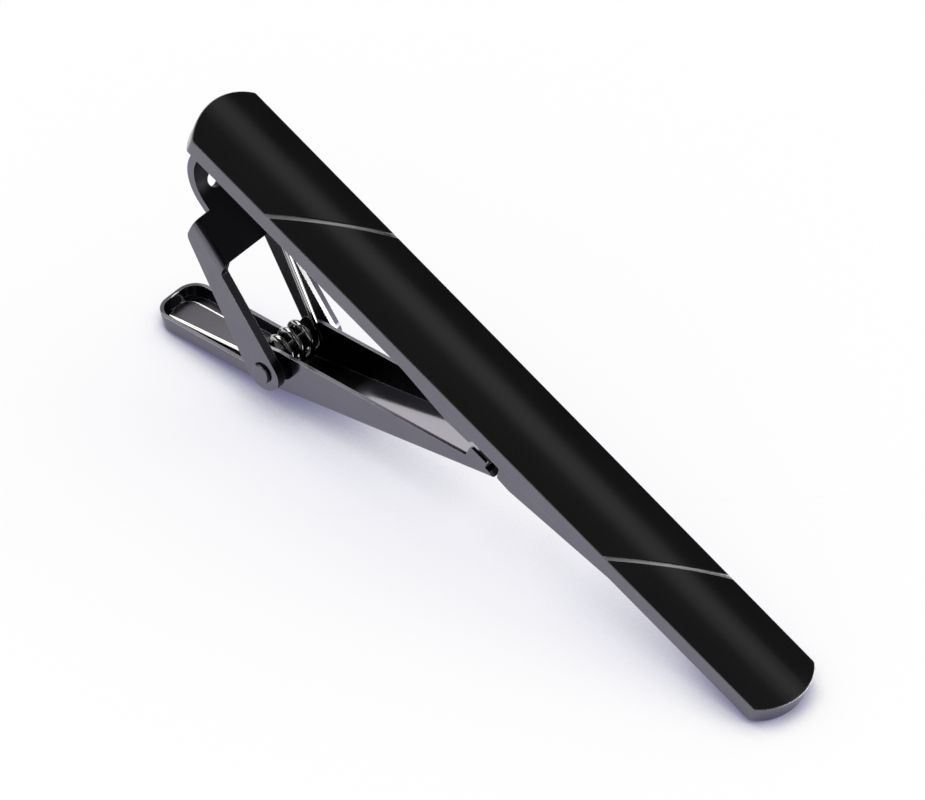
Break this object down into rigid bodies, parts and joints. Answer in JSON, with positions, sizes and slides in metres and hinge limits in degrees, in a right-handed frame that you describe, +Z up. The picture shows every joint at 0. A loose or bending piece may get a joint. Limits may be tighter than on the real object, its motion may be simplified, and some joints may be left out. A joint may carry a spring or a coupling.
{
  "type": "tie clip",
  "caption": "Slim sprung tie clip: a long domed black bar with two slanted grooves and, behind it, a pinch lever that a torsion spring closes on the bar.",
  "frame": {"origin": "middle of the footprint, on the table that the clip's tail and thumb tab rest on", "axes": "X along the bar towards its tail, Y across the bar and along the pivot, Z up"},
  "size_m": [0.0584, 0.007, 0.0228],
  "materials": {
    "gunmetal": "polished dark plating",
    "black_enamel": "glossy hard enamel",
    "spring_wire": "bright dark wire"
  },
  "bodies": {
    "bar": {"bar_body": "gunmetal", "enamel_left": "black_enamel", "enamel_middle": "black_enamel", "enamel_right": "black_enamel", "jaw_saddle": "gunmetal", "stirrup": "gunmetal", "pivot_pin": "gunmetal", "torsion_spring": "spring_wire"},
    "lever": {"lever": "gunmetal"}
  },
  "joints": [
    {"name": "lever_pivot", "type": "hinge", "parent": "bar", "child": "lever", "pos_m": [-0.01757, 0, 0.00375], "axis": [0, 1, 0], "range_deg": [0, 25], "stiffness_Nm_per_rad": 0.02, "springref_deg": -57.3, "deforming": ["torsion_spring"]}
  ]
}
